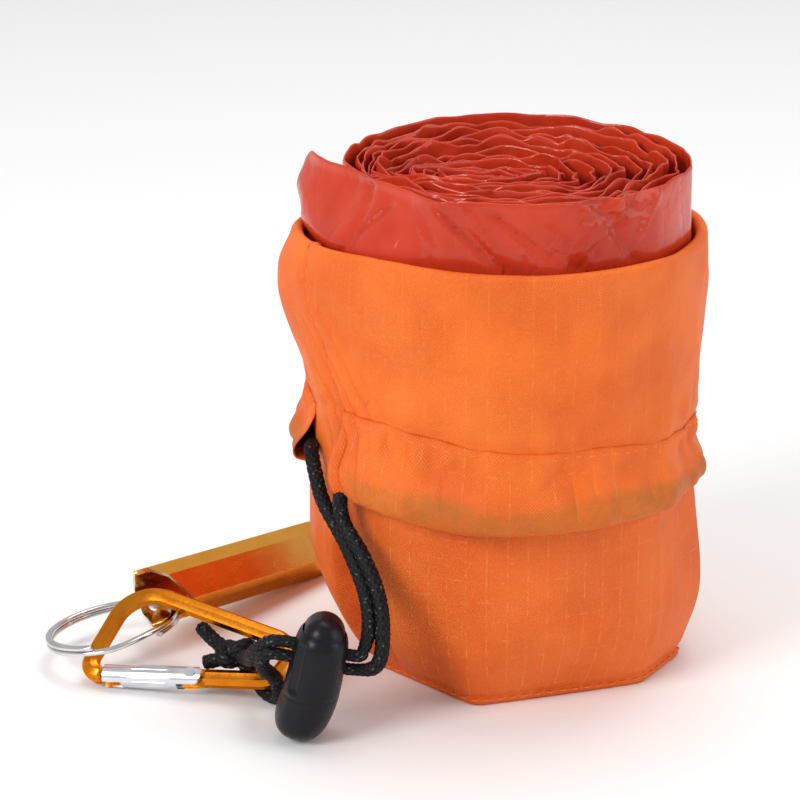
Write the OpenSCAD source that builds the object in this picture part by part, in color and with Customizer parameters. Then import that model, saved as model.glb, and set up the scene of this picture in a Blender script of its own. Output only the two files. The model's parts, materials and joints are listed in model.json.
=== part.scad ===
// A rolled film bivy sack in its ripstop stuff sack, with a drawcord, a sprung cord lock,
// a small carabiner, a split ring and a hexagonal tube whistle. Millimetres, +Z up.
// The origin is the centre of the sack's base on the ground, and -Y is the front.

/* [Stuff sack] */
// Outside radius of the sack's wall
wall_r = 43.8; // [43.6:0.1:44.2]
// Height of the fold where the mouth turns down
fold_z = 103; // [100:1:106]
// Thickness of the cloth
cloth_t = 0.5; // [0.4:0.05:0.55]
// Height of the lower edge of the turned-down mouth
hem_z = 45.5; // [45:0.5:47]
// Height of the drawcord channel
channel_h = 19.5; // [18:0.5:20]

/* [Bivy roll] */
// Outside radius of the rolled film
roll_r = 40.2; // [39:0.1:40.3]
// Height of the roll's top edge
roll_top = 118; // [112:1:124]
// Number of turns in the roll
roll_turns = 7; // [5:1:8]
// Thickness of one folded layer of film
film_t = 2.2; // [1.6:0.1:2.4]

/* [Drawcord] */
// Diameter of the cord
cord_d = 3; // [2.8:0.1:3]

/* [Cord lock] */
// Width of the barrel along the cord
lock_w = 12; // [11.6:0.1:12.4]
// Depth of the barrel across the cord
lock_d = 15; // [14.5:0.5:16]
// How far the button can be pressed
button_travel = 2.8; // [2:0.1:2.8]

/* [Carabiner] */
// Diameter of the bar
bar_d = 4.2; // [4:0.1:4.2]
// Diameter of the gate's tube
gate_d = 5.2; // [5:0.1:5.4]
// Distance between the two corners on the gate's side
gate_side = 49; // [49:0.5:50]

/* [Split ring] */
// Radius of the wire's centre line
ring_r = 14.85; // [14.7:0.05:15]
// Width of the wire, in the ring's plane
ring_w = 1.8; // [1.5:0.1:1.8]

/* [Whistle] */
// Distance across the tube's flats
whistle_af = 12; // [11.8:0.1:12]
// Length of the tube
whistle_len = 66; // [60:1:66]
// Thickness of the tube's wall
whistle_wall = 1; // [0.8:0.1:1.2]

/* [Hidden] */
$fn = 96;

cloth_orange = [0.95, 0.42, 0.10];
thread_orange = [0.90, 0.33, 0.08];
film_red = [0.80, 0.20, 0.15];
cord_black = [0.06, 0.06, 0.07];
plastic_black = [0.09, 0.09, 0.11];
anodised_orange = [0.86, 0.45, 0.08];
bright_metal = [0.75, 0.76, 0.80];

gap = 0.3; // between two layers of cloth
inner_r = wall_r - cloth_t;
cuff_in = wall_r + gap;
cuff_out = cuff_in + cloth_t;
toe_h = 3; // the wall draws in over this height above the ground
toe_in = 2.6; // and by this much
base_t = 1;

// The free end of the film pushes the mouth out to the left, as a ball under the cloth.
bulge_at = [-19, -3, fold_z];
bulge_r = 28.4;

channel_top = hem_z + channel_h;
channel_r = cuff_out + cord_d + 1.1;
mouth_left = 195; // angle of the channel's left mouth, seen from above
mouth_right = 224; // angle of the channel's right mouth
channel_turn = 360 - mouth_right + mouth_left;
cord_ring_r = cuff_out + cord_d / 2 + 0.3;
cord_low_z = hem_z + 4.5;
cord_rise = 5; // the cord climbs by this much towards the left mouth
thread_r = 0.25;

roll_at = [2.6, 0];
roll_bottom = toe_h + 0.1;
roll_pitch = (roll_r - 10) / roll_turns;
flap_bottom = 97;
flap_t = 1.2;

lock_at = [-45.4, -52.6, 0.15];
lock_lean = 12;
lock_top = 26.5;
shoulder_z = lock_top - 5; // the barrel rounds in above this height
hole_z = 19.8; // height of the cord hole along the barrel
strand_gap = cord_d + 0.3; // between the two strands' centre lines
barrel_wall = 1.2;
barrel_floor = 6;
button_low = 12.5;
slide_fit = 0.1; // clearance between the button and the barrel

clip_at = [-96.2, -24, 2.3];
clip_turn = [36, -4.5, -14.5];
spine_left = [7.5, 24];
spine_right = [gate_side - 1.5, 10];
corner_r = 3.6; // bend at the gate's nose
shoulder_r = 9; // bend at the top of the spine
tail_r = 5.5; // the two bends at the narrow end
bar_start = 29.4; // the bar begins here, beside the gate's pivot
pivot_x = 26.5;
nose_x = 5.5;
pin_r = 0.8;
tongue_t = 1.9; // thickness of the bar's flattened tongues
slot_w = 2.2; // width of the slots in the gate
gate_bore = 1.4;

ring_at = [-90.5, -10.3, 8.3];
ring_turn = [-3.8, -10.5, 0];
ring_h = 1.15; // height of one turn of wire

hole_at = [-82.58, 2.25, 8.94]; // where the ring passes through the whistle's tongue
whistle_turn = [0, 6.8, 53];
hole_t = 8.2; // distance of the tongue's hole from the tube's end
hole_low = 1; // and how far it sits below the middle of its wall
hex_side = whistle_af / sqrt(3);
bore_af = whistle_af - 2 * whistle_wall;
cut_slant = 44; // slant of the cut that opens the near half of the tube's end
cut_at = 7.4;
tongue_slant = 36;
window_side = 60; // the window is in the wall that is turned this far from the top one
windway_h = 1.1;

// ---- curves and sweeps ----
function unit(v) = v / norm(v);
function spline(a, b, c, d, t) = 0.5 * (2 * b + (c - a) * t + (2 * a - 5 * b + 4 * c - d) * t * t
    + (3 * b - a - 3 * c + d) * t * t * t);
// A smooth curve through the given points, with n steps between each two.
function smooth(p, n) = let (m = len(p) - 1) concat(
    [for (i = [0:m - 1], k = [0:n - 1])
        spline(p[max(i - 1, 0)], p[i], p[i + 1], p[min(i + 2, m)], k / n)], [p[m]]);
function tangent(p, i) = unit(p[min(i + 1, len(p) - 1)] - p[max(i - 1, 0)]);
// Side vectors that follow the path without twisting.
function sides(p, first) = [for (i = 0, s = first; i < len(p);
    i = i + 1, s = i < len(p) ? unit(s - (s * tangent(p, i)) * tangent(p, i)) : s)
    i == 0 ? unit(first - (first * tangent(p, 0)) * tangent(p, 0)) : s];

// Sweeps an outline, given as [side, up] points, along a path.
module sweep(path, outline, first) {
    n = len(outline);
    m = len(path);
    side = sides(path, first);
    points = [for (i = [0:m - 1], q = outline)
        path[i] + q[0] * side[i] + q[1] * cross(tangent(path, i), side[i])];
    walls = [for (i = [0:m - 2], j = [0:n - 1]) let (k = (j + 1) % n)
        each [[i * n + j, (i + 1) * n + j, i * n + k], [i * n + k, (i + 1) * n + j, (i + 1) * n + k]]];
    caps = [[for (j = [0:n - 1]) j], [for (j = [n - 1:-1:0]) (m - 1) * n + j]];
    polyhedron(points, concat(walls, caps), convexity = 8);
}
function oval(rx, ry, n) = [for (j = [0:n - 1])
    let (a = 360 * j / n + 180 / n) [rx * cos(a), ry * sin(a)] / cos(180 / n)];

// ---- stuff sack ----
// The wall's outline swollen by the ball of the bulge, at a distance grow outside the inner face.
module swollen(grow, low, high) {
    intersection() {
        union() {
            translate([0, 0, low]) cylinder(r = inner_r + grow, h = high - low);
            translate(bulge_at) sphere(r = bulge_r + grow);
        }
        translate([0, 0, low]) cylinder(r = 2 * wall_r, h = high - low);
    }
}

module sack_body() {
    top = fold_z - cloth_t - 0.2;
    color(cloth_orange) union() {
        difference() {
            swollen(cloth_t, toe_h, top);
            swollen(0, toe_h - 1, top + 1);
        }
        rotate_extrude() polygon([[wall_r - toe_in, 0], [wall_r, toe_h], [inner_r, toe_h],
            [inner_r - toe_in, 0]]);
    }
}

module sack_base() {
    color(cloth_orange) cylinder(r1 = inner_r - toe_in - 0.15, r2 = inner_r - toe_in + 0.5, h = base_t);
}

module sack_cuff() {
    grow = cloth_t + gap;
    color(cloth_orange) difference() {
        swollen(grow + cloth_t, hem_z, fold_z);
        swollen(grow, hem_z - 1, fold_z - cloth_t);
        swollen(0, hem_z - 1, fold_z + 1);
    }
}

// The casing that the drawcord runs in, sewn to the cuff along its top.
module drawcord_channel() {
    lip = cuff_out + 0.05;
    belly = channel_r - cloth_t;
    color(cloth_orange) rotate([0, 0, mouth_right]) rotate_extrude(angle = channel_turn)
        polygon([[lip, channel_top], [lip + cloth_t, channel_top], [lip + cloth_t, channel_top - 2.5],
            [channel_r, channel_top - 5], [channel_r, hem_z + 2], [channel_r - 2, hem_z], [lip, hem_z],
            [lip, hem_z + cloth_t], [belly - 1.6, hem_z + cloth_t], [belly, hem_z + 2.1],
            [belly, channel_top - 5.3], [lip, channel_top - 2.5]]);
}

// One row of sewing thread that runs round the sack.
module thread_ring(r, z, from, turn) {
    rotate([0, 0, from]) rotate_extrude(angle = turn) translate([r, z]) circle(r = thread_r, $fn = 24);
}

module hem_thread() {
    color(thread_orange)
        thread_ring(cuff_out + cloth_t + thread_r + 0.1, channel_top - 1.2, mouth_right, channel_turn);
}

module side_thread() {
    seam_angle = 208;
    color(thread_orange) rotate([0, 0, seam_angle]) translate([wall_r + thread_r + 0.02, 0, toe_h + 1])
        cylinder(r = thread_r, h = hem_z - toe_h - 3, $fn = 24);
}

module base_thread() {
    z = 1.5;
    slope_r = wall_r - toe_in * (1 - z / toe_h);
    color(thread_orange) thread_ring(slope_r + thread_r + 0.15, z, 0, 360);
}

// ---- bivy roll ----
function spiral(a, r) = [roll_at[0] + r * cos(a), roll_at[1] + r * sin(a)];
// The layers wind inwards from the free end at the left, flattened towards the core.
function layer(a, inset) = let (r = roll_r - roll_pitch * a / 360 - inset) spiral(200 + a, r);

module bivy_roll() {
    step = 15;
    last = 360 * roll_turns;
    color(film_red) union() {
        translate([0, 0, roll_bottom]) linear_extrude(roll_top - roll_bottom)
            polygon(concat([for (a = [0:step:last]) layer(a, 0)],
                [for (a = [last:-step:0]) layer(a, film_t)]));
        // the flared free end, which stands clear of the roll at the left
        translate([0, 0, flap_bottom]) linear_extrude(roll_top - flap_bottom)
            polygon([spiral(244, roll_r - 0.6), [-25.4, -33.2], [-33, -26.4], [-39.8, -18.2], [-44, -7],
                [-44.4, 0], [-43.2, 0], [-42.9, -6.8], [-38.7, -17.7], [-32, -25.6], [-24.8, -32.1],
                spiral(244, roll_r - 1.9)]);
    }
}

// ---- drawcord ----
function lock_point(x, z) = lock_at + [x * cos(lock_lean) + z * sin(lock_lean), 0,
    z * cos(lock_lean) - x * sin(lock_lean)];
function channel_point(a) = [cord_ring_r * cos(a), cord_ring_r * sin(a),
    cord_low_z + cord_rise * pow(max(0, -cos(a)), 2)];

// From the channel's left mouth, through the upper half of the lock's hole and over the bar.
function left_strand() = let (z = hole_z + strand_gap / 2) concat(
    [for (a = [60:10:190]) channel_point(a)],
    smooth([channel_point(mouth_left), [-43.6, -17.6, 54.2], [-42.4, -23, 50.2], [-40.6, -27.4, 45.6],
        [-36.2, -35.2, 38.4], [-32, -43, 30.6], [-31, -48, 24.4], [-31.9, -51.7, 20.2],
        lock_point(8, z), lock_point(0, z), lock_point(-9.6, z), [-54.6, -49.4, 19.8],
        [-56.4, -44.4, 16], [-57, -39.2, 12.8], [-58.2, -33.8, 10.8], knot_at], 4));
// From the right mouth, through the lower half of the hole and under the bar.
function right_strand() = let (z = hole_z - strand_gap / 2) concat(
    [for (a = [50:-10:-130]) channel_point(a)],
    smooth([channel_point(mouth_right), channel_point(219), [-36.9, -31.2, 48.2], [-36, -33.4, 43],
        [-31.9, -38.8, 37.6],
        [-28.4, -44.6, 30.6], [-27.4, -49.4, 23.4], [-28.6, -52.4, 17.2], lock_point(8, z),
        lock_point(0, z), lock_point(-9.6, z), [-53.6, -48.4, 14.6], [-51.8, -43.4, 9.4],
        [-51, -40.6, 3.6], [-52.4, -36.6, 1.75], [-55.4, -32, 2.2], knot_at], 4));
knot_at = [-60.4, -27.6, 9];

module drawcord() {
    section = oval(cord_d / 2, cord_d / 2, 10);
    upper_tail = smooth([knot_at, [-65.3, -21.8, 9.2], [-69.3, -15, 10.1]], 4);
    lower_tail = smooth([knot_at, [-64.4, -27.6, 7.8], [-68, -26.8, 6.6]], 4);
    color(cord_black) union() {
        sweep(left_strand(), section, [0, 0, 1]);
        sweep(right_strand(), section, [0, 0, 1]);
        sweep([channel_point(60), channel_point(55), channel_point(50)], section, [0, 0, 1]);
        sweep(upper_tail, section, [0, 0, 1]);
        sweep(lower_tail, section, [0, 0, 1]);
        translate(knot_at) sphere(r = 2.7, $fn = 12);
    }
}

// ---- cord lock ----
module lock_frame() {
    translate(lock_at) rotate([0, lock_lean, 0]) children();
}

// An upright bar with two round ends, closed by balls at its lower or its upper end.
module pill(w, d, low, high, ball_z) {
    for (s = [-1, 1]) translate([0, s * (d - w) / 2, 0]) {
        translate([0, 0, low]) cylinder(d = w, h = high - low);
        translate([0, 0, ball_z]) sphere(d = w);
    }
    translate([-w / 2, -(d - w) / 2, low]) cube([w, d - w, high - low]);
    translate([0, (d - w) / 2, ball_z]) rotate([90, 0, 0]) cylinder(d = w, h = d - w);
}

module cord_slot(width, low, high) {
    translate([-lock_w, -width / 2, low]) cube([2 * lock_w, width, high - low]);
}

module cord_lock_barrel() {
    slot = cord_d + 0.8;
    low = hole_z - strand_gap / 2 - cord_d / 2 - 0.35;
    high = hole_z + strand_gap / 2 + cord_d / 2 + 0.35;
    bore_w = lock_w - 2 * barrel_wall;
    bore_d = lock_d - 2 * barrel_wall;
    color(plastic_black) lock_frame() difference() {
        union() {
            pill(lock_w, lock_d, lock_w / 2, shoulder_z, lock_w / 2);
            pill(lock_w, lock_d, lock_w / 2, shoulder_z, shoulder_z);
            // the flat guide strip beside the cord hole
            translate([0, -(lock_d - lock_w) / 2, 11.5]) rotate([0, 0, 225])
                translate([lock_w / 2 - 1.2, -1.3, 0]) cube([1.5, 2.6, shoulder_z - 10.5]);
        }
        for (s = [-1, 1]) translate([0, s * (bore_d - bore_w) / 2, barrel_floor])
            cylinder(d = bore_w, h = lock_top);
        translate([-bore_w / 2, -(bore_d - bore_w) / 2, barrel_floor])
            cube([bore_w, bore_d - bore_w, lock_top]);
        cord_slot(slot, low, high);
    }
}

module cord_lock_button() {
    w = lock_w - 2 * barrel_wall - 2 * slide_fit;
    d = lock_d - 2 * barrel_wall - 2 * slide_fit;
    slot = cord_d + 1;
    low = hole_z - strand_gap / 2 - cord_d / 2 - 0.35;
    high = hole_z + strand_gap / 2 + cord_d / 2 + 0.35 + button_travel;
    color(plastic_black) lock_frame() difference() {
        pill(w, d, button_low, lock_top - 1.7, lock_top - 1.7);
        cord_slot(slot, low, high);
    }
}

// A round coil of wire along +Z.
module coil(r, wire_r, low, high, turns) {
    n = 14 * turns;
    path = [for (i = [0:n]) let (a = 360 * turns * i / n)
        [r * cos(a), r * sin(a), low + wire_r + (high - low - 2 * wire_r) * i / n]];
    sweep(path, oval(wire_r, wire_r, 6), [1, 0, 0]);
}

module cord_lock_spring() {
    color(bright_metal) lock_frame() coil(3.3, 0.4, barrel_floor + 0.1, button_low - 0.1, 5);
}

// ---- carabiner ----
module clip_frame() {
    translate(clip_at) rotate(clip_turn) children();
}

// The bend that rounds the corner p between a and b, as points of an arc of radius r.
function bend(a, p, b, r, n) = let (
    u = unit(a - p), v = unit(b - p), half = acos(u * v) / 2,
    mid = p + unit(u + v) * r / sin(half), s = p + u * r / tan(half), e = p + v * r / tan(half))
    [for (i = [0:n]) let (w = (s - mid) * sin((1 - i / n) * (180 - 2 * half)) +
        (e - mid) * sin(i / n * (180 - 2 * half))) mid + unit(w) * r];
function flat3(p) = [p[0], p[1], 0];

module carabiner_body() {
    nose = [0, 0];
    tail = [gate_side, 0];
    path = [for (p = concat([[bar_start, 0], [bar_start + 6, 0]],
        bend([0, 0], tail, spine_right, tail_r, 7), bend(tail, spine_right, spine_left, tail_r, 6),
        bend(spine_right, spine_left, nose, shoulder_r, 9), bend(spine_left, nose, tail, corner_r, 8)))
        flat3(p)];
    color(anodised_orange) clip_frame() difference() {
        union() {
            sweep(path, oval(bar_d / 2, bar_d / 2, 12), [0, 0, 1]);
            // the tongue that the gate straddles at its pivot
            translate([pivot_x, -1.9, -tongue_t / 2]) cube([bar_start - pivot_x + 0.6, 3.8, tongue_t]);
            translate([pivot_x - 2, -1.9, -tongue_t / 2]) cube([2, 3.8, tongue_t]);
            // the tongue that enters the slot in the gate's nose
            translate([3.9, -1.6, -tongue_t / 2]) cube([5.4, 3.2, tongue_t]);
        }
        translate([pivot_x, 0, -bar_d]) cylinder(r = pin_r + 0.01, h = 2 * bar_d, $fn = 48);
    }
}

module carabiner_gate() {
    heel = gate_d / 2;
    color(bright_metal) clip_frame() difference() {
        intersection() {
            translate([nose_x, 0, 0]) rotate([0, 90, 0]) cylinder(d = gate_d, h = pivot_x + heel - nose_x);
            union() {
                translate([nose_x, -gate_d, -gate_d]) cube([pivot_x - nose_x, 2 * gate_d, 2 * gate_d]);
                translate([pivot_x, 0, -gate_d]) cylinder(r = heel, h = 2 * gate_d);
            }
        }
        translate([nose_x - 1, -gate_d, -slot_w / 2]) cube([5.4, 2 * gate_d, slot_w]);
        translate([pivot_x - 3.3, -gate_d, -slot_w / 2]) cube([3.3 + 2 * heel, 2 * gate_d, slot_w]);
        translate([nose_x + 5.2, 0, 0]) rotate([0, 90, 0])
            cylinder(r = gate_bore, h = pivot_x - nose_x - 7);
        translate([pivot_x, 0, -gate_d]) cylinder(r = pin_r + 0.05, h = 2 * gate_d, $fn = 48);
    }
}

module gate_rivet() {
    head_z = gate_d / 2 + 0.03;
    color(bright_metal) clip_frame() translate([pivot_x, 0, 0]) {
        translate([0, 0, -head_z - 0.3]) cylinder(r = pin_r, h = 2 * head_z + 0.6, $fn = 48);
        for (s = [-1, 1]) translate([0, 0, s * (head_z + 0.15) - 0.15])
            cylinder(r = 1.3, h = 0.3, $fn = 48);
    }
}

module gate_pusher() {
    tip = pivot_x - 2.05;
    color(bright_metal) clip_frame() translate([tip - 4.2, 0, 0]) rotate([0, 90, 0]) {
        cylinder(r = gate_bore - 0.1, h = 4.2, $fn = 48);
        translate([0, 0, -1.6]) cylinder(r = 0.6, h = 1.7, $fn = 48);
    }
}

module gate_spring() {
    low = nose_x + 5.3;
    high = pivot_x - 6.35;
    color(bright_metal) clip_frame() rotate([0, 90, 0]) coil(1.05, 0.22, low, high, 8);
}

// ---- split ring ----
// Two turns of flat wire that step from one level to the other over a short stretch.
module split_ring() {
    step_at = 360;
    half_step = 26;
    path = [for (a = [32:6:688]) let (k = min(max((a - step_at + half_step) / (2 * half_step), 0), 1))
        [ring_r * cos(a - 70), ring_r * sin(a - 70), (ring_h + 0.06) * (k * k * (3 - 2 * k) - 0.5)]];
    color(bright_metal) translate(ring_at) rotate(ring_turn)
        sweep(path, oval(ring_h / 2, ring_w / 2, 8), [0, 0, 1]);
}

// ---- whistle ----
// The whistle's own frame has +X along the tube from its cut end, and the hole at hole_at.
module whistle_frame() {
    translate(hole_at) rotate(whistle_turn)
        translate([-hole_t, -0.75 * hex_side + cos(60) * hole_low, whistle_af / 4 + sin(60) * hole_low])
            children();
}

module hex_bar(af, low, high) {
    translate([low, 0, 0]) rotate([90, 0, 90]) cylinder(d = 2 * af / sqrt(3), h = high - low, $fn = 6);
}

module whistle_tube() {
    big = 3 * whistle_af;
    color(anodised_orange) whistle_frame() difference() {
        hex_bar(whistle_af, 0, whistle_len);
        hex_bar(bore_af, -1, whistle_len + 1);
        // the near half is cut away on a slant and leaves a tongue
        intersection() {
            rotate([60, 0, 0]) translate([-big, -big, 0]) cube([2 * big, 2 * big, big]);
            rotate([0, -cut_slant, 0]) translate([cut_at - big, -big, -big]) cube([big, 2 * big, 2 * big]);
        }
        // the tongue's own end is mitred
        rotate([60, 0, 0]) rotate([0, -tongue_slant, 0]) translate([-big, -big, -big])
            cube([big, 2 * big, 2 * big]);
        // the ring's hole through the tongue
        translate([hole_t, 0.75 * hex_side, -whistle_af / 4]) rotate([-120, 0, 0])
            translate([0, hole_low, -3]) cylinder(r = 2.1, h = 6, $fn = 48);
        // the window that the air leaves by
        rotate([-window_side, 0, 0]) translate([whistle_len - 16.5, -3, whistle_af / 2 - 2 * whistle_wall])
            cube([3.5, 6, 4 * whistle_wall]);
    }
}

module whistle_fipple() {
    color(anodised_orange) whistle_frame() difference() {
        hex_bar(bore_af - 0.04, whistle_len - 13, whistle_len - 0.2);
        rotate([-window_side, 0, 0]) translate([whistle_len - 14, -3, bore_af / 2 - windway_h])
            cube([15, 6, 2 * windway_h]);
    }
}

module whistle_end_plug() {
    color(anodised_orange) whistle_frame() hex_bar(bore_af - 0.04, 24, 27);
}

sack_body();
sack_base();
sack_cuff();
drawcord_channel();
hem_thread();
side_thread();
base_thread();
bivy_roll();
drawcord();
cord_lock_barrel();
cord_lock_button();
cord_lock_spring();
carabiner_body();
carabiner_gate();
gate_rivet();
gate_pusher();
gate_spring();
split_ring();
whistle_tube();
whistle_fipple();
whistle_end_plug();
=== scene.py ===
"""A rolled film bivy in its ripstop stuff sack, with drawcord, cord lock, carabiner, ring and whistle.

The frame gives every place and size. Work is in millimetres, and meshes are made in metres.
"""
import json
import math

import bmesh
import bpy
import numpy as np
from mathutils import Euler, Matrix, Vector

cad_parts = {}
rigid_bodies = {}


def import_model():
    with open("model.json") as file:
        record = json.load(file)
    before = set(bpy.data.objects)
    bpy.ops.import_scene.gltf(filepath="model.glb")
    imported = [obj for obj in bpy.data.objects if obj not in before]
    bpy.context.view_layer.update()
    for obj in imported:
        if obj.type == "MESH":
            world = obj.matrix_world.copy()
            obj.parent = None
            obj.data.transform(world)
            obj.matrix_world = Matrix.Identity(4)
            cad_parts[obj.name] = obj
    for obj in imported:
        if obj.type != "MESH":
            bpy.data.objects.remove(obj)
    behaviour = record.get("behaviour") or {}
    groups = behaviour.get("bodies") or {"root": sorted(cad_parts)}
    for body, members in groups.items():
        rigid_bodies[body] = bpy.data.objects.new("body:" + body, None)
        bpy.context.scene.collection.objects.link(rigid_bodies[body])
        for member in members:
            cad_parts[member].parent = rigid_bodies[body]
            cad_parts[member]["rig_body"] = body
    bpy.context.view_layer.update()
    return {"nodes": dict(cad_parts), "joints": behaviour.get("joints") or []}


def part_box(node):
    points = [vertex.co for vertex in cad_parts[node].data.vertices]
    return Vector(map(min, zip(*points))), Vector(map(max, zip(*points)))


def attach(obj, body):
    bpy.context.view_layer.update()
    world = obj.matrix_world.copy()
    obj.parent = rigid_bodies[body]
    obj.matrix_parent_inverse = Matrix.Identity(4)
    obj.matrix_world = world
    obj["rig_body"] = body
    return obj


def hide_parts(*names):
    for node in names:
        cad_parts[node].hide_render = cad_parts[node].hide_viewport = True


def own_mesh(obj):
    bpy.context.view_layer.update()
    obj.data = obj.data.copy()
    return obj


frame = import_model()
MM = 0.001


# ---- sizes in millimetres, from the frame where it gives them
def low(node):
    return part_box(node)[0] / MM


def high(node):
    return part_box(node)[1] / MM


def joint(name):
    return next(j for j in frame["joints"] if j["name"] == name)


BODY_R = high("sack_body").x
CUFF_R = high("sack_cuff").x
CHANNEL_R = high("drawcord_channel").x
FOLD_Z = high("sack_cuff").z
HEM_Z = low("drawcord_channel").z
SEAM_Z = high("drawcord_channel").z
ROLL_TOP = high("bivy_roll").z
ROLL_BOTTOM = low("bivy_roll").z
CLOTH_T = 0.35
MOUTH_LEFT = 196.0
MOUTH_RIGHT = 214.0
SIDE_SEAM = 215.0
CORD_R = 1.72
PLAITS = 8
BRAID_PITCH = 4.2

# The lock's own frame: z up along the barrel and x along the cord, away from the carabiner.
LOCK_UP = -Vector(joint("button_press")["axis"])
LOCK_ALONG = -Vector(joint("cord_lock_slide")["axis"])
LOCK_ACROSS = LOCK_UP.cross(LOCK_ALONG)
LOCK_HALF = 6.0
LOCK_AT = Vector((low("cord_lock_barrel").x + LOCK_HALF - LOCK_HALF * LOCK_UP.x,
                  (low("cord_lock_barrel").y + high("cord_lock_barrel").y) / 2,
                  low("cord_lock_barrel").z + LOCK_HALF - LOCK_HALF * LOCK_UP.z))
HOLE_Z = 19.8
STRAND_GAP = 3.3
SLOT_R = 1.88
KNOT_AT = Vector(joint("carabiner_swing")["pos_m"]) / MM + Vector((-5.7, 7.1, 3.3))

# The carabiner's own frame: X along the gate, Y across the eye and Z out of its plane.
CLIP_X = -Vector(joint("pusher_slide")["axis"]).normalized()
CLIP_Z = -Vector(joint("gate_open")["axis"]).normalized()
CLIP_Y = CLIP_Z.cross(CLIP_X)
PIVOT_X = 26.5
CLIP_AT = Vector(joint("gate_open")["pos_m"]) / MM - PIVOT_X * CLIP_X


# ---- number helpers
def step(low_edge, high_edge, value):
    """0 below low_edge, 1 above high_edge and smooth between them."""
    t = np.clip((value - low_edge) / (high_edge - low_edge), 0, 1)
    return t * t * (3 - 2 * t)


def hump(value, centre, width):
    return np.exp(-((value - centre) / width) ** 2)


def turn_gap(angle, centre):
    """The signed gap from centre to angle in degrees, between -180 and 180."""
    return (angle - centre + 180) % 360 - 180


def near(angle, centre, width):
    """1 at the centre angle, falling to 0 on both sides; all in degrees."""
    return hump(turn_gap(angle, centre), 0, width)


def lattice(i, j, k, seed):
    """A repeatable value from 0 to 1 for each point of a whole-number grid."""
    n = (i * 374761393 + j * 668265263 + k * 1440670441 + seed * 1274126177) & 0xFFFFFFFF
    n = ((n ^ (n >> 13)) * 1274126177) & 0xFFFFFFFF
    return ((n ^ (n >> 16)) & 0xFFFF) / 65535.0


def noise(points, size, seed):
    """Smooth noise from 0 to 1 at points, with features of the given size."""
    q = np.asarray(points, float) / size
    cell = np.floor(q).astype(np.int64)
    f = q - cell
    f = f * f * (3 - 2 * f)
    total = 0
    for corner in np.ndindex(2, 2, 2):
        x, y, z = (f[..., k] if corner[k] else 1 - f[..., k] for k in range(3))
        total = total + x * y * z * lattice(*(cell[..., k] + corner[k] for k in range(3)), seed)
    return total


def crease(points, size, seed):
    """0 along sharp crease lines, rising to 1 between them."""
    return np.abs(2 * noise(points, size, seed) - 1)


def swell(points, size, seed):
    """Smooth noise from -1 to 1."""
    return 2 * noise(points, size, seed) - 1


def stacked(*parts):
    """Points or UVs from their coordinates, which may be arrays of different shapes or single numbers."""
    return np.stack(np.broadcast_arrays(*parts), axis=-1)


# ---- mesh helpers
def adjust(thing, **settings):
    for key, value in settings.items():
        setattr(thing, key, value)
    return thing


def new_object(name, data):
    made = bpy.data.objects.new(name, data)
    bpy.context.scene.collection.objects.link(made)
    return made


def add_piece(name, points, faces, material, body, uv, shade=None):
    """Makes a smooth-shaded piece from points in millimetres and lets it ride on a body."""
    mesh = bpy.data.meshes.new(name)
    mesh.from_pydata((np.asarray(points) * MM).tolist(), [], faces)
    mesh.polygons.foreach_set("use_smooth", [True] * len(mesh.polygons))
    corner = np.empty(len(mesh.loops), np.int32)
    mesh.loops.foreach_get("vertex_index", corner)
    layer = mesh.uv_layers.new(name="UVMap")
    layer.data.foreach_set("uv", np.asarray(uv, np.float32)[corner].ravel())
    if shade is not None:
        mesh.attributes.new("shade", "FLOAT", "POINT").data.foreach_set("value", np.asarray(shade).ravel())
    mesh.materials.append(material)
    piece = new_object(name, mesh)
    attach(piece, body)
    return piece


def stand_in(piece, cad_node):
    """Hides the CAD node that a piece stands in for."""
    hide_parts(cad_node)


def thicken(piece, thickness, offset=-1):
    """Makes a sheet thicker, by default on its inner side."""
    adjust(piece.modifiers.new("Thickness", "SOLIDIFY"), thickness=thickness * MM, offset=offset)


def grid_faces(rows, columns, closed):
    """Quads between neighbouring rows; a closed grid joins its last row to its first."""
    faces = []
    for i in range(rows if closed else rows - 1):
        a = i * columns
        b = (i + 1) % rows * columns
        faces += [(a + j, b + j, b + j + 1, a + j + 1) for j in range(columns - 1)]
    return faces


def ring_faces(rings, sides):
    """Quads between neighbouring rings of points, and a face over each end."""
    last = (rings - 1) * sides
    faces = [(a + j, a + (j + 1) % sides, a + (j + 1) % sides + sides, a + j + sides)
             for a in range(0, last, sides) for j in range(sides)]
    return faces + [tuple(range(sides - 1, -1, -1)), tuple(range(last, last + sides))]


def sheet(name, cad_node, grid, material, uv, closed=True, shade=None):
    """A sheet of the sack's cloth over a grid of points, given its thickness on the inner side."""
    faces = grid_faces(*grid.shape[:2], closed)
    piece = add_piece(name, grid.reshape(-1, 3), faces, material, "stuff_sack", uv.reshape(-1, 2), shade)
    thicken(piece, CLOTH_T)
    stand_in(piece, cad_node)


def spline(points, steps):
    """A smooth curve through the points, with the given number of steps between each two."""
    p = np.asarray([tuple(q) for q in points], float)
    padded = np.vstack([p[:1], p, p[-1:]])
    t = (np.arange(steps) / steps)[:, None]
    out = []
    for a, b, c, d in zip(padded, padded[1:], padded[2:], padded[3:]):
        out.append(0.5 * (2 * b + (c - a) * t + (2 * a - 5 * b + 4 * c - d) * t ** 2
                          + (3 * b - a - 3 * c + d) * t ** 3))
    return np.vstack(out + [p[-1:]])


def distances(path):
    """How far along a path each of its points lies."""
    gaps = np.linalg.norm(np.diff(path, axis=0), axis=1)
    return np.concatenate([[0], np.cumsum(gaps)])


def sample(points, along, wanted):
    """Points known at the distances along, read off at the distances wanted."""
    return np.stack([np.interp(wanted, along, points[:, k]) for k in range(3)], axis=1)


def even(path, spacing):
    """The same path with its points at an even spacing."""
    along = distances(path)
    count = max(int(along[-1] / spacing), 2)
    return sample(path, along, np.linspace(0, along[-1], count + 1))


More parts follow.
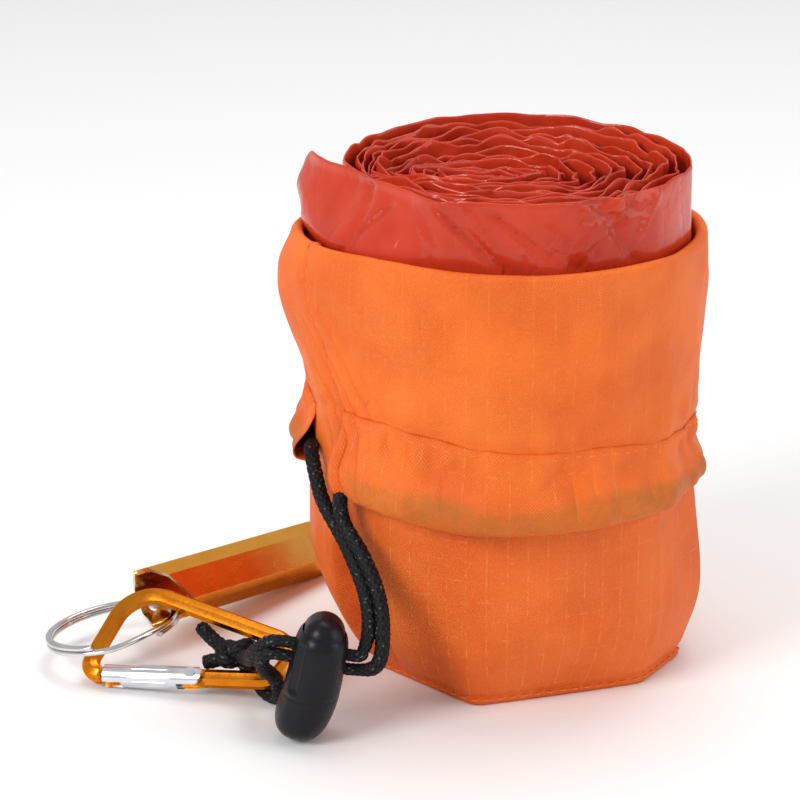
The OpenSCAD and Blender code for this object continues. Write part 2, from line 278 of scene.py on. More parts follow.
def path_frames(path):
    """Two unit vectors across the path at each point, which follow it without twisting."""
    ahead = np.gradient(path, axis=0)
    ahead /= np.linalg.norm(ahead, axis=1)[:, None]
    side = np.empty_like(path)
    first = np.array([0, 0, 1.0])
    if abs(ahead[0] @ first) > 0.95:
        first = np.array([1.0, 0, 0])
    for i, t in enumerate(ahead):
        first = first - (first @ t) * t
        first /= np.linalg.norm(first)
        side[i] = first
    return side, np.cross(ahead, side)


def tube(path, radius, sides):
    """Points, faces and UVs of a tube; radius(along, around) gives its radius."""
    side, up = path_frames(path)
    around = np.linspace(0, 2 * math.pi, sides, endpoint=False)
    along = distances(path)
    r = radius(along[:, None], around[None, :])
    spoke = np.cos(around)[:, None] * side[:, None] + np.sin(around)[:, None] * up[:, None]
    points = path[:, None] + r[..., None] * spoke
    uv = stacked(along[:, None], around)
    return points.reshape(-1, 3), ring_faces(len(path), sides), uv.reshape(-1, 2)


def merge(parts, material, body):
    """Joins several (points, faces, uv) sets into what add_piece needs for one piece."""
    points, faces, uvs, base = [], [], [], 0
    for p, f, uv in parts:
        points.append(p)
        uvs.append(uv)
        faces += [tuple(base + i for i in face) for face in f]
        base += len(p)
    return np.vstack(points), faces, material, body, np.vstack(uvs)


# ---- material helpers
class Making:
    """The material that is being made."""
    material = tree = shader = None


def start_material(name, **values):
    Making.material = bpy.data.materials.new(name)
    Making.material.use_nodes = True
    Making.tree = Making.material.node_tree
    Making.shader = Making.tree.nodes["Principled BSDF"]
    for key, value in values.items():
        Making.shader.inputs[key.replace("_", " ")].default_value = value


def plug(socket, value):
    if isinstance(value, bpy.types.NodeSocket):
        Making.tree.links.new(value, socket)
    else:
        socket.default_value = value


def surface(tone, relief, roughness=None):
    """Connects the colour, the relief and any varying roughness, and gives the finished material."""
    plug(Making.shader.inputs["Base Color"], tone)
    plug(Making.shader.inputs["Normal"], relief)
    if roughness is not None:
        plug(Making.shader.inputs["Roughness"], roughness)
    return Making.material


def node(kind, inputs=None, **settings):
    made = adjust(Making.tree.nodes.new("ShaderNode" + kind), **settings)
    for key, value in (inputs or {}).items():
        plug(made.inputs[key], value)
    return made


def calc(operation, *values):
    return node("Math", dict(enumerate(values)), operation=operation).outputs[0]


def times(a, b):
    return calc("MULTIPLY", a, b)


def stretched(vector, scale):
    return node("VectorMath", {0: vector, 1: scale}, operation="MULTIPLY").outputs[0]


def ramp(value, start, end, low_out=0.0, high_out=1.0):
    """A smooth change from low_out to high_out as value goes from start to end."""
    return node("MapRange", {0: value, 1: start, 2: end, 3: low_out, 4: high_out},
                interpolation_type="SMOOTHSTEP").outputs[0]


def blend(factor, a, b):
    return node("Mix", {0: factor, 6: a, 7: b}, data_type="RGBA").outputs[2]


def rgb(r, g, b):
    return (r, g, b, 1.0)


def noise_at(vector, scale, detail=2.0, rough=0.5):
    inputs = {"Vector": vector, "Scale": scale, "Detail": detail, "Roughness": rough}
    return node("TexNoise", inputs).outputs[0]


def bump(height, depth, strength=1.0, under=None):
    """A bump of the given depth in metres."""
    inputs = {"Height": height, "Distance": depth, "Strength": strength}
    if under is not None:
        inputs["Normal"] = under
    return node("Bump", inputs).outputs[0]


def place():
    """The point on the object in millimetres."""
    where = node("TexCoord").outputs["Object"]
    return node("VectorMath", {0: where, "Scale": 1 / MM}, operation="SCALE").outputs[0]


# ---- materials
def ripstop(name, grid_show, darkest, lightest):
    """Fine plain weave with a raised square grid of double threads; UVs are in millimetres."""
    pitch, cell = 0.62, 4.7
    start_material(name, Specular_IOR_Level=0.25)
    parts = node("SeparateXYZ", {0: node("UVMap").outputs[0]}).outputs
    where = place()
    wobble = times(noise_at(where, 0.35), 0.5)
    waves = [calc("SINE", times(calc("ADD", parts[k], wobble), 2 * math.pi / pitch)) for k in (0, 1)]
    weave = times(*waves)
    lines = [ramp(calc("PINGPONG", calc("ADD", parts[k], wobble), cell / 2), 0.08, 0.30, 1.0, 0.0)
             for k in (0, 1)]
    upright = times(lines[0], ramp(noise_at(where, 0.42, 4.0, 0.7), 0.42, 0.66))
    level = times(lines[1], ramp(noise_at(where, 0.3, 4.0, 0.7), 0.50, 0.68, 0.0, 0.7))
    grid = times(calc("MAXIMUM", upright, level), grid_show)
    speck = noise_at(where, 2.6, 2.0, 0.7)
    tone = blend(ramp(noise_at(where, 0.05, 3.0), 0.3, 0.7), darkest, lightest)
    tone = blend(ramp(speck, 0.46, 0.70, 0.0, 0.22), tone, rgb(0.96, 0.27, 0.05))
    hatched = ramp(noise_at(where, 0.06, 3.0), 0.40, 0.62, 0.12, 0.55)
    tone = blend(times(ramp(weave, 0.0, 0.8), hatched), tone, rgb(0.98, 0.28, 0.06))
    tone = blend(times(grid, 0.34), tone, rgb(1.0, 0.38, 0.10))
    # the shade attribute darkens the hem's lower band in mottled patches
    dark = node("Attribute", attribute_name="shade").outputs["Fac"]
    mottled = times(dark, ramp(noise_at(where, 0.4, 4.0, 0.7), 0.30, 0.66, 0.55, 1.0))
    mottled = times(mottled, ramp(weave, -0.6, 0.6, 1.0, 0.65))
    tone = blend(mottled, tone, rgb(0.36, 0.125, 0.014))
    roughness = ramp(speck, 0.3, 0.7, 0.46, 0.6)
    wrinkle = bump(noise_at(where, 0.13, 3.0), 0.0016, 0.45)
    fine = bump(weave, 0.00005, 0.8, wrinkle)
    return surface(tone, bump(grid, 0.00012, 0.8, fine), roughness)


def film_material():
    start_material("film_gloss", Coat_Weight=0.28, Coat_Roughness=0.04, Specular_IOR_Level=0.18)
    where = place()
    cloudy = ramp(noise_at(where, 0.07, 3.0), 0.3, 0.7)
    tone = blend(cloudy, rgb(0.50, 0.034, 0.011), rgb(0.60, 0.050, 0.018))
    roughness = ramp(noise_at(where, 0.3, 3.0), 0.3, 0.7, 0.14, 0.30)
    slanted = stretched(where, (1.0, 1.0, 0.45))
    folds = node("TexVoronoi", {"Vector": slanted, "Scale": 0.09}, feature="DISTANCE_TO_EDGE").outputs[0]
    streak = ramp(folds, 0.0, 0.05)
    large = bump(noise_at(where, 0.09, 2.0), 0.0014, 0.35)
    sharp = bump(streak, 0.00014, 0.4, large)
    return surface(tone, bump(noise_at(where, 0.7, 2.0), 0.00006, 0.35, sharp), roughness)


def cord_material():
    """Black braid; the UVs are millimetres along the cord and radians round it."""
    start_material("cord_braid", Roughness=0.55, Specular_IOR_Level=0.16)
    uv = node("UVMap").outputs[0]
    parts = node("SeparateXYZ", {0: uv}).outputs
    # small cells along and round the cord, a few of which get a pale fleck
    row = calc("FLOOR", calc("ADD", calc("DIVIDE", parts[0], 0.42), times(parts[1], 1.2)))
    column = calc("FLOOR", calc("DIVIDE", parts[1], math.pi / 12))
    cell = node("CombineXYZ", {0: row, 1: column}).outputs[0]
    luck = node("TexWhiteNoise", {"Vector": cell}, noise_dimensions="2D").outputs[0]
    fleck = ramp(luck, 0.965, 0.975)
    around = times(parts[1], PLAITS / 2)
    along = times(parts[0], 2 * math.pi / BRAID_PITCH)
    slants = [calc("SINE", calc(way, around, along)) for way in ("ADD", "SUBTRACT")]
    plait = calc("ABSOLUTE", times(*slants))
    fibre = noise_at(stretched(uv, (1.5, 9.0, 1.0)), 1.0)
    tone = blend(ramp(fibre, 0.3, 0.75), rgb(0.005, 0.005, 0.006), rgb(0.026, 0.025, 0.028))
    # painted shade: the grooves between the plaits are darkened
    tone = blend(ramp(plait, 0.0, 0.8, 0.9, 0.0), tone, rgb(0.0015, 0.0015, 0.002))
    tone = blend(times(fleck, 0.4), tone, rgb(0.20, 0.22, 0.23))
    return surface(tone, bump(fibre, 0.00006, 0.6))


def plastic_material():
    start_material("lock_plastic", Specular_IOR_Level=0.22)
    where = place()
    tone = blend(noise_at(where, 0.2, 2.0), rgb(0.004, 0.0035, 0.006), rgb(0.008, 0.007, 0.012))
    roughness = ramp(noise_at(where, 0.8, 3.0), 0.3, 0.7, 0.26, 0.38)
    return surface(tone, bump(noise_at(where, 4.0, 2.0), 0.00001, 0.4), roughness)


def metal(name, colour, worn, roughness, grain=(1.0, 1.0, 1.0), scratches=0.0, relief=0.000006,
          edge=rgb(1.0, 1.0, 1.0)):
    """Metal with fine drawn lines along the direction where grain is small, and light scratches."""
    start_material(name, Metallic=1.0, Specular_Tint=edge)
    where = place()
    lines = noise_at(stretched(where, grain), 1.0, 3.0, 0.6)
    tone = blend(ramp(noise_at(where, 0.18, 3.0), 0.3, 0.7, 0.0, 0.8), colour, worn)
    if scratches:
        hair = stretched(where, (0.5, 3.5, 6.0))
        scratched = ramp(noise_at(hair, 0.8, 4.0, 0.7), 0.70, 0.74, 0.0, scratches)
        tone = blend(scratched, tone, rgb(0.95, 0.72, 0.45))
    varied = ramp(lines, 0.3, 0.7, roughness, roughness + 0.06)
    return surface(tone, bump(lines, relief, 0.3), varied)


def thread_material():
    start_material("sewing_thread", Roughness=0.6, Sheen_Weight=0.05)
    where = place()
    tone = blend(noise_at(where, 2.0, 2.0), rgb(0.78, 0.13, 0.010), rgb(0.92, 0.22, 0.03))
    return surface(tone, bump(noise_at(where, 6.0, 2.0), 0.00008, 0.8))


# One ripstop in three tones: the wall's copy is darker as painted shade and the cuff's copy lighter as
# painted light, with the hem's between them.
CLOTH = ripstop("ripstop_cloth", 1.0, rgb(0.66, 0.095, 0.007), rgb(0.76, 0.130, 0.012))
CUFF_CLOTH = ripstop("ripstop_cuff", 0.45, rgb(0.72, 0.110, 0.008), rgb(0.84, 0.155, 0.014))
HEM_CLOTH = ripstop("ripstop_hem", 0.7, rgb(0.70, 0.100, 0.007), rgb(0.82, 0.145, 0.012))
FILM = film_material()
CORD = cord_material()
BLACK_PLASTIC = plastic_material()
ORANGE_METAL = metal("anodised_orange", rgb(0.66, 0.20, 0.012), rgb(0.76, 0.26, 0.02), 0.22,
                     scratches=0.08, relief=0.000002, edge=rgb(1.0, 0.55, 0.2))
WHISTLE_METAL = metal("anodised_whistle", rgb(0.92, 0.40, 0.08), rgb(0.97, 0.48, 0.12), 0.22,
                      grain=(0.25, 0.2, 1.2), relief=0.000001, edge=rgb(1.0, 0.75, 0.4))
BARE_METAL = metal("bare_aluminium", rgb(0.70, 0.71, 0.77), rgb(0.84, 0.85, 0.90), 0.2, relief=0.000001)
RAW_EDGE = metal("raw_cut_aluminium", rgb(0.80, 0.80, 0.82), rgb(0.92, 0.90, 0.88), 0.3)
CHROME = metal("nickel_plate", rgb(0.62, 0.61, 0.61), rgb(0.80, 0.80, 0.80), 0.08)
SPRING_STEEL = metal("spring_wire", rgb(0.52, 0.53, 0.56), rgb(0.66, 0.67, 0.70), 0.25)
THREAD = thread_material()


# ---- stuff sack
# The corners of the base as (angle, radius); the wall keeps a hint of them further up.
CORNERS = [(32.0, 40.0), (88.0, 38.0), (142.0, 35.5), (205.7, 31.0), (259.5, 36.8), (323.2, 39.3),
           (350.0, 42.0)]
SIDES = list(zip(CORNERS, CORNERS[1:] + [(CORNERS[0][0] + 360, CORNERS[0][1])]))
# Pleats up the lower wall, as (angle, depth, width to the left, width to the right, top).
PLEATS = [(209.5, 4.3, 1.5, 4.6, 46), (226, 1.1, 2.2, 1.0, 34)]


def facet_radius(theta):
    """Radius of the base's outline, straight between its corners, at angles theta in degrees."""
    out = np.zeros_like(theta)
    for (a, ra), (b, rb) in SIDES:
        start = polar(a, ra, 0)
        d = polar(b, rb, 0) - start
        across = np.cos(np.radians(theta)) * d[1] - np.sin(np.radians(theta)) * d[0]
        out = np.where((theta - a) % 360 < b - a, (start[0] * d[1] - start[1] * d[0]) / across, out)
    return out


def soft_facet(theta):
    """The base's outline with its corners softened."""
    return sum(facet_radius(theta + turn) for turn in (-3, -1.5, 0, 1.5, 3)) / 5


def side_dip(theta):
    """0 at the corners' angles and 1 half-way between two of them."""
    out = np.zeros_like(theta)
    for (a, _), (b, _) in SIDES:
        share = (theta - a) % 360 / (b - a)
        out = np.where(share < 1, 1 - (2 * share - 1) ** 2, out)
    return out


def polar(theta, r, z):
    """Points at an angle in degrees, a radius and a height."""
    a = np.radians(theta)
    return stacked(r * np.cos(a), r * np.sin(a), z)


def bulge(theta, z):
    """How far the film's free end pushes the mouth out at the left."""
    gap = turn_gap(theta, 186)
    width = np.where(gap > 0, 27.0, 21.0)
    return 5.4 * np.exp(-(gap / width) ** 2) * step(58, 92, z) * (1 - 0.62 * step(94, 104, z))


def wall_radius(theta, z):
    """Outer radius of the sack's inner layer, from the ground to the fold."""
    around = polar(theta, BODY_R, z)
    rise = 25 + 7 * np.cos(np.radians(theta - 200))
    t = np.clip(z / rise, 0, 1)
    ease = np.sin(t * math.pi / 2) ** 0.85
    foot = soft_facet(theta)
    full = BODY_R * (1 - 0.036 * side_dip(theta) * (1 - step(45, 90, z)))
    full = full + 2.6 * near(theta, 352, 32) * hump(z, 19, 17)
    full = full + 2.3 * near(theta, 190, 26) * (1 - step(44, 52, z))
    r = foot + (full - foot) * ease
    r = r + bulge(theta, z) * 0.93
    loose = step(0, 6, z) * (1 - step(44, 52, z))
    folds = 0.8 * swell(around * [1, 1, 0.25], 9, 3) + 0.9 * crease(around * [1, 1, 0.4], 15, 5) - 0.4
    r = r + loose * folds
    for centre, depth, left, right, top in PLEATS:
        gap = turn_gap(theta, centre + (z - 20) * 0.12)
        shape = np.exp(-(gap / np.where(gap > 0, right, left)) ** 2)
        r = r - depth * shape * step(0.5, 9, z) * (1 - step(top - 14, top, z))
    # the base's seam stands out as a low rib with a groove above it
    return r + 0.45 * hump(z, 0.7, 0.5) - 0.55 * hump(z, 2.4, 0.8) * (0.4 + noise(around, 7, 9))


def side_turn(z):
    """The side seam leans to the left towards the fold, by this many degrees."""
    return -0.36 * np.maximum(z - 62, 0)


def cuff_radius(theta, z):
    """Outer radius of the turned-down mouth."""
    around = polar(theta, CUFF_R, z)
    r = CUFF_R + 0.3 - 0.9 * side_dip(theta) * (1 - step(64, 92, z)) + bulge(theta, z)
    r = r + 0.8 * swell(around * [1, 1, 0.55], 17, 11) + 0.35 * swell(around * [1, 1, 0.8], 6.5, 12)
    r = r + 0.9 * (crease(around * [1, 1, 0.5], 24, 18) - 0.5) * (1 - step(88, 100, z))
    # the side seam draws the cloth in, with slanting gathers beside it above the cord's mouths
    seam = turn_gap(theta, SIDE_SEAM + side_turn(z))
    r = r - 0.8 * hump(seam, 0, 1.0) - 1.3 * hump(seam, -1, 5) * (1 - step(66, 96, z))
    slant = seam + 0.32 * (z - 74)
    gather = hump(seam, 2, 9) * (1 - step(68, 94, z))
    waves = np.abs(np.sin(np.radians(slant * 34 + 60 * noise(around, 6, 13)))) ** 0.7
    r = r + gather * 1.5 * (waves - 0.5)
    # gathers just above the channel's seam
    line = seam_height(theta)
    r = r - 0.5 * hump(z, line + 0.6, 1.2)
    r = r + 0.9 * hump(z, line + 4.0, 4.0) * swell(around * [1, 1, 0.4], 4.5, 15)
    r = r + 0.9 * (crease(around * [1, 1, 0.35], 11, 16) - 0.5) * (1 - step(66, 92, z))
    right = near(theta, 355, 30)
    r = r - 1.7 * right * (1 - step(55, 61, z)) + 0.7 * right * step(58, 64, z) * (1 - step(80, 100, z))
    # a soft dent in the middle of the front and a fold at the right edge
    r = r - 0.9 * near(theta, 250, 9) * hump(z, 80, 13)
    return r - 1.0 * near(theta, 352, 9) * hump(z, 84, 7)


def seam_height(theta):
    return (SEAM_Z - 1.2 - 3.6 * np.cos(np.radians(theta)) + 0.5 * np.sin(np.radians(5 * theta))
            - 3.4 * near(theta, 191, 10) + 0.4 * swell(polar(theta, CHANNEL_R, 0 * theta), 9, 17))


def hem_height(theta):
    return HEM_Z + 4.6 * np.maximum(0, -np.cos(np.radians(theta))) ** 2 + 1.6 * near(theta, 188, 12)


def fold_height(theta):
    wave = 0.8 * np.sin(np.radians(2 * theta + 40)) + 0.5 * np.sin(np.radians(5 * theta))
    return FOLD_Z - 1.0 + 0.7 * wave + 1.9 * near(theta, 268, 55)


def cloth_uv(theta, length):
    """Millimetres round the sack and along the cloth."""
    return stacked(np.radians(theta) * BODY_R, length)


def make_wall():
    theta = SIDE_SEAM + np.linspace(0, 360, 721)[:-1]
    heights = np.concatenate([np.linspace(0.05, 4, 9), np.linspace(4.8, 50, 76), np.linspace(53, 99.5, 24)])
    grid = np.stack([polar(theta, wall_radius(theta, z), z) for z in heights], axis=1)
    uv = cloth_uv(theta[:, None], heights[None, :])
    sheet("sack_wall", "sack_body", grid, CLOTH, uv)


def make_base():
    """The base panel, slightly domed and crumpled, that meets the wall's foot."""
    theta = np.linspace(0, 360, 361)[:-1]
    edge = wall_radius(theta, 0.4) - 0.45
    shares = np.linspace(0.02, 1, 30)
    rings = []
    for share in shares:
        flat = polar(theta, edge * share, 0)
        lift = 0.12 + 0.75 * (1 - share ** 4) * (0.45 + 0.55 * noise(flat, 9, 21))
        rings.append(polar(theta, edge * share, lift))
    points = np.stack(rings, axis=1).reshape(-1, 3)
    faces = grid_faces(len(theta), len(shares), True)
    faces.append(tuple(i * len(shares) for i in range(len(theta))))
    piece = add_piece("sack_base_panel", points, faces, CLOTH, "stuff_sack", points[:, :2])
    thicken(piece, 0.3, 1)
    stand_in(piece, "sack_base")


def make_cuff():
    """From inside the mouth, over the fold and down to the hem, behind the channel."""
    theta = SIDE_SEAM + np.linspace(0, 360, 1081)[:-1]
    rim = theta + side_turn(FOLD_Z)
    top = fold_height(rim)
    turn_r = 1.05
    columns = [(rim, cuff_radius(rim, top - drop) - 2 * turn_r, top - turn_r - drop, -drop)
               for drop in (9.0, 6.0, 3.5, 1.8)]
    centre = cuff_radius(rim, top - turn_r) - turn_r
    for turn in np.linspace(180, 0, 9):
        c, s = math.cos(math.radians(turn)), math.sin(math.radians(turn))
        length = math.pi * turn_r * (1 - turn / 180)
        columns.append((rim, centre + turn_r * c, top - turn_r + turn_r * s, length))
    bottom = hem_height(theta) + 1.6 - 6.5 * near(theta, 210, 3.6)
    for share in np.linspace(0, 1, 76)[1:]:
        z = (top - turn_r) * (1 - share) + bottom * share
        angle = theta + side_turn(z)
        columns.append((angle, cuff_radius(angle, z), z, math.pi * turn_r + 54 * share))
    grid = np.stack([polar(angle, r, z) for angle, r, z, _ in columns], axis=1)
    uv = np.stack([cloth_uv(angle, length) for angle, _, _, length in columns], axis=1)
    sheet("sack_cuff_cloth", "sack_cuff", grid, CUFF_CLOTH, uv)


# The channel's cross-section: how far it stands off the cuff at each share of its height.
CHANNEL_SHAPE = [(0.25, 1.0), (0.55, 0.93), (0.7, 0.84), (1.1, 0.74), (1.7, 0.63), (2.4, 0.52), (3.1, 0.41),
                 (3.7, 0.31), (4.05, 0.22), (4.1, 0.14), (3.8, 0.06), (3.0, 0.01), (2.0, -0.01), (1.1, 0.02),
                 (0.45, 0.1)]
CHANNEL_TURN = (MOUTH_LEFT - MOUTH_RIGHT) % 360


def channel_surface(theta):
    """The channel's outer surface as a list of (radius, height) columns."""
    top = seam_height(theta)
    bottom = hem_height(theta)
    steps = spline([(a, b, 0) for a, b in CHANNEL_SHAPE], 3)
    ends = np.minimum(turn_gap(theta, MOUTH_RIGHT) % 360, -turn_gap(theta, MOUTH_LEFT) % 360)
    columns = []
    for out, share, _ in steps:
        angle = channel_angle(theta, share)
        z = bottom + (top - bottom) * share
        around = polar(theta, CHANNEL_R, z)
        belly = hump(share, 0.2, 0.34)
        pucker = swell(around * [1, 1, 0.4], 3.6, 31) * 1.5 * hump(share, 0.80, 0.17)
        pucker = pucker + (0.35 + swell(around * [1, 1, 0.6], 5.5, 32)) * 1.2 * belly * step(0, 0.05, share)
        pucker = pucker + (crease(around * [1, 1, 0.35], 5.5, 33) - 0.35) * 1.9 * hump(share, 0.50, 0.28)
        flare = np.exp(-ends / 3.2) * 1.3 * belly
        stand = out * (1 + 0.08 * swell(around, 11, 34)) * (1 - 0.04 * near(theta, 355, 30))
        r = cuff_radius(angle, np.maximum(z, HEM_Z)) + stand + (pucker + flare) * (out > 0.3)
        columns.append((r, z))
    return columns, steps


def channel_angle(theta, share):
    """Slants the channel's right-hand mouth, which starts further round at its foot."""
    return theta + 5.5 * (1 - share) * np.exp(-(theta - MOUTH_RIGHT) / 9)


def channel_shade(theta, columns, share):
    """How dark the channel's lower band is, from 0 to 1: strongest in front, none beside the right mouth."""
    around = polar(theta[:, None], CHANNEL_R, np.array([z.mean() for _, z in columns])[None, :])
    lift = 0.13 * swell(around * [1, 1, 0.1], 14, 41)
    band = step(0.02, 0.10, share[None, :] + 0.02) * (1 - step(0.27 + lift, 0.44 + lift, share[None, :]))
    strength = 0.55 + 0.4 * noise(around * [1, 1, 0.3], 9, 42)
    front = 1 - 0.75 * step(0.2, 0.9, np.cos(np.radians(theta - 90)))[:, None]
    near_mouth = step(2, 16, theta - MOUTH_RIGHT)[:, None]
    return np.clip(band * strength * front * near_mouth, 0, 0.85)


def make_channel():
    theta = MOUTH_RIGHT + np.linspace(0, CHANNEL_TURN, 1100)
    columns, steps = channel_surface(theta)
    angles = [channel_angle(theta, share) for _, share, _ in steps]
    grid = np.stack([polar(angle, r, z) for angle, (r, z) in zip(angles, columns)], axis=1)
    uv = cloth_uv(theta[:, None], 0.45 * np.arange(len(columns))[None, :])
    shade = channel_shade(theta, columns, steps[:, 1])
    sheet("drawcord_channel_cloth", "drawcord_channel", grid, HEM_CLOTH, uv, closed=False, shade=shade)


def stitch_row(name, theta, r, z, replaced, length=2.1, gap=0.9, radius=0.24):
    """A row of short raised stitches along a line on the cloth, given by its angles, radii and heights."""
    points, outward = polar(theta, r, z), polar(theta, 1.0, 0)
    along = distances(points)
    share = np.linspace(0, 1, 7)
    lift = 0.34 * np.sin(share * math.pi) - 0.02
    thick = radius * (0.45 + 0.55 * np.sin(share * math.pi) ** 0.5)
    parts = []
    start = gap
    while start + length < along[-1]:
        where = start + share * length
        path = sample(points, along, where) + sample(outward, along, where) * lift[:, None]
        parts.append(tube(path, lambda s, a: thick[:, None] * np.ones_like(a), 8))
        start += length + gap
    stand_in(add_piece(name, *merge(parts, THREAD, "stuff_sack")), replaced)


def make_stitches():
    theta = MOUTH_RIGHT + np.linspace(0.6, CHANNEL_TURN - 0.6, 1400)
    columns, steps = channel_surface(theta)
    nearest = int(np.argmin(np.abs(steps[:, 1] - 0.93)))
    stitch_row("hem_stitches", channel_angle(theta, steps[nearest, 1]), *columns[nearest], "hem_thread")

    z = np.linspace(99, 66, 300)
    theta = SIDE_SEAM + 1.6 + side_turn(z)
    stitch_row("side_stitches", theta, cuff_radius(theta, z), z, "side_thread")

    theta = np.linspace(0, 359.5, 900)
    stitch_row("base_stitches", theta, wall_radius(theta, 1.5), 1.5, "base_thread", 1.9, 1.1, 0.2)


# ---- film roll
ROLL_CENTRE = 2.6
ROLL_R = 40.0
ROLL_TURNS = 14.3
CORE_R = 5.0
FILM_T = 0.5
FREE_END = 80.0  # the free end meets the roll after this many degrees
FREE_START = -9.0
# The free end's radii at the sack's mouth and along its straight upper edge.
FLARE_ANGLES = [FREE_START, 0, 20, 35, 50, 65, FREE_END]
FLARE_RADII = [48.6, 48.4, 46.8, 44.8, 42.6, 40.8, ROLL_R]
RIM_RADII = [48.2, 44.2, 37.9, 36.6, 38.0, 41.2, ROLL_R]
# The creases that make each layer a flattened polygon, as angles from the free end.
BENDS = [0, 34, 66, 104, 141, 170, 196, 226, 262, 301, 334]


def polygon_share(angle):
    """Radius of an irregular polygon round a unit circle, at angles in degrees."""
    out = np.ones_like(angle)
    for a, b in zip(BENDS, BENDS[1:] + [360]):
        t = (angle - a) % 360
        half = math.radians(b - a) / 2
        chord = math.cos(half) / np.cos(np.radians(t) - half)
        out = np.where(t < b - a, chord, out)
    return out


def roll_line(a):
    """Plan position of the film a degrees from its free end, and its share of the way inwards."""
    inwards = np.clip((a - FREE_END) / (360 * ROLL_TURNS - FREE_END), 0, 1)
    r = ROLL_R - (ROLL_R - CORE_R) * inwards ** 1.15
    drift = a / 360 * 5.0
    r = r * (1 - (1 - polygon_share(a + drift)) * (0.5 + 1.1 * inwards))
    squash = 1 - 0.56 * inwards ** 0.85
    centre = ROLL_CENTRE - 10.0 * inwards ** 1.2
    angle = np.radians(180 + a)
    return centre + r * np.cos(angle), r * np.sin(angle) * squash - 1.0 * inwards, inwards


# Slanting creases in the outer wall, as (angle, slope, depth, lowest height, highest height).
WALL_CREASES = [(64, 1.5, 0.8, 101, 116), (82, 2.1, 0.7, 99, 115), (40, -1.2, 0.6, 98, 113),
                (112, 1.2, 0.6, 99, 117), (27, 0.5, 0.7, 98, 116), (131, -1.8, 0.5, 104, 117),
                (72, 1.0, -0.5, 108, 116), (90, 0.9, -0.6, 103, 109), (99, 1.6, -0.4, 104, 112),
                (121, -1.4, -0.5, 109, 117), (140, -1.0, -0.5, 108, 117), (56, 1.2, -0.4, 105, 112)]


def wall_line(a, z):
    """How far the creases push the outer wall in, in millimetres."""
    out = np.zeros_like(a)
    for start, slope, depth, low_z, high_z in WALL_CREASES:
        gap = a - start - slope * (high_z - z)
        inside = step(low_z - 3, low_z, z) * (1 - step(high_z, high_z + 2, z))
        fade = np.where(gap > 0, 3.0 if depth > 0 else 0.9, 0.6)
        out = out + depth * inside * np.exp(-np.abs(gap) / fade)
    return out


def film_outward(plan):
    """Unit vectors out of the roll along its plan, slightly smoothed."""
    ahead = np.gradient(plan, axis=0)
    ahead /= np.linalg.norm(ahead, axis=1)[:, None]
    out = stacked(ahead[:, 1], -ahead[:, 0], 0)
    for _ in range(3):
        out[1:-1] = (out[:-2] + 2 * out[1:-1] + out[2:]) / 4
    return out / np.linalg.norm(out, axis=1)[:, None]


def film_top(a, layer, inwards, inner):
    """Height of the film's upper edge."""
    top = (ROLL_TOP + 0.2 - 3.4 * inwards ** 0.7 + 2.1 * (crease(layer, 9, 51) - 0.5) * (0.2 + inner)
           + 1.1 * swell(layer, 14, 52) * (0.2 + 0.8 * inner) + 0.4 * swell(layer, 3.5, 53) * inner)
    top = top - 2.2 * (1 - np.clip((a - FREE_START) / 4.0, 0, 1)) ** 2
    return top + 1.4 * near(a, 272, 75) * (1 - inwards) ** 3


def film_spread(a, z, inwards):
    """How far the film stands off the roll's plan; the free end flares out and presses other layers in."""
    free = a < FREE_END
    flare = np.where(free, np.interp(a, FLARE_ANGLES, FLARE_RADII) - ROLL_R, 0)
    rim = np.where(free, np.interp(a, FLARE_ANGLES, RIM_RADII) - ROLL_R, 0)
    pressed = np.where(free, 0, 4.8 * near(a, 33, 24) * (1 - inwards) ** 1.5)
    upper = step(102, 117, z)
    spread = (flare * (1 - upper) + rim * upper) * step(90, 105, z) - pressed * step(98, 116, z)
    spread = spread + 2.0 * hump(z, 110, 4.5) * hump(a, FREE_START, 14)
    # the sack's waist presses the roll in on the right
    return spread - 3.4 * near(a, 180, 30) * hump(z, 49, 18) * (1 - inwards)


def film_shift(a, where, depth, layer, inner):
    """How far the crumples push the film outwards at a depth below its upper edge."""
    near_top = max(0.0, 1 - depth / 16)
    jag = (crease(where * [1, 1, 0.3], 9.5, 61) - 0.45) * (0.2 + 1.3 * inner) * (0.3 + near_top)
    soft = swell(where * [1, 1, 0.5], 15, 62) * (0.15 + 1.7 * inner)
    small = (crease(where * [1, 1, 1.6], 4.2, 64) - 0.5) * 0.45 * inner * (0.3 + near_top)
    lean = (swell(layer, 12, 65) - 0.5) * near_top ** 1.3 * inner
    curl = (crease(where, 3.4, 66) - 0.5) * 3.0 * hump(a, 124, 17) * near_top ** 2
    wall = (0.25 * swell(where, 12, 67) - 1.7 * wall_line(a, where[:, 2])) * (1 - inner)
    return jag + soft + small + lean + curl + wall


def film_columns():
    """The lines along the film from its foot over its upper edge, as (offset, depth below the edge)."""
    outer = np.concatenate([[ROLL_TOP - ROLL_BOTTOM, 102, 90, 80, 70, 55, 40], np.linspace(30, 12, 12),
                            np.linspace(11, 0.5, 20)])
    edge = [(FILM_T * 0.3, 0.12), (0, 0), (-FILM_T * 0.3, 0.12)]
    inner = [(-FILM_T / 2, depth) for depth in (0.5, 1.5, 3, 5, 7.5, 10.5, 14, 20)]
    return [(FILM_T / 2, depth) for depth in outer] + edge + inner


